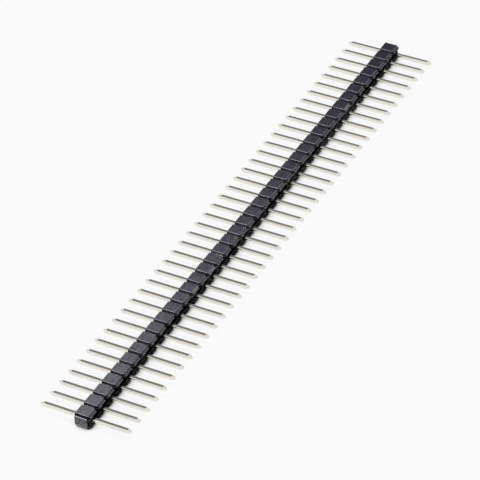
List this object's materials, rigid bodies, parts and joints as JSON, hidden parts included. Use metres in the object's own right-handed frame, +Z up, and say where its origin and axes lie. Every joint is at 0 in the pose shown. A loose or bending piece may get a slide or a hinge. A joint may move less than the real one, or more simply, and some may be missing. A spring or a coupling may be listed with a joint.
{
  "type": "pin header strip",
  "caption": "Single-row break-away pin header: a notched black moulding with feet on one side, carrying a row of square tin-plated pins that stand out on both sides.",
  "frame": {"origin": "under the middle of the strip, on the plane that it rests on", "axes": "+X along the strip, +Y along the pins away from the plain face, so that the feet face -Y, +Z up while the strip lies on a side face"},
  "size_m": [0.1016, 0.015, 0.0025],
  "materials": {
    "moulding": "fine-grained moulded glass-filled polyester, black",
    "pin_plating": "bright drawn wire with tin plating"
  },
  "bodies": {
    "root": {"housing": "moulding", "pin_01": "pin_plating", "pin_02": "pin_plating", "pin_03": "pin_plating", "pin_04": "pin_plating", "pin_05": "pin_plating", "pin_06": "pin_plating", "pin_07": "pin_plating", "pin_08": "pin_plating", "pin_09": "pin_plating", "pin_10": "pin_plating", "pin_11": "pin_plating", "pin_12": "pin_plating", "pin_13": "pin_plating", "pin_14": "pin_plating", "pin_15": "pin_plating", "pin_16": "pin_plating", "pin_17": "pin_plating", "pin_18": "pin_plating", "pin_19": "pin_plating", "pin_20": "pin_plating", "pin_21": "pin_plating", "pin_22": "pin_plating", "pin_23": "pin_plating", "pin_24": "pin_plating", "pin_25": "pin_plating", "pin_26": "pin_plating", "pin_27": "pin_plating", "pin_28": "pin_plating", "pin_29": "pin_plating", "pin_30": "pin_plating", "pin_31": "pin_plating", "pin_32": "pin_plating", "pin_33": "pin_plating", "pin_34": "pin_plating", "pin_35": "pin_plating", "pin_36": "pin_plating", "pin_37": "pin_plating", "pin_38": "pin_plating", "pin_39": "pin_plating", "pin_40": "pin_plating"}
  },
  "joints": []
}
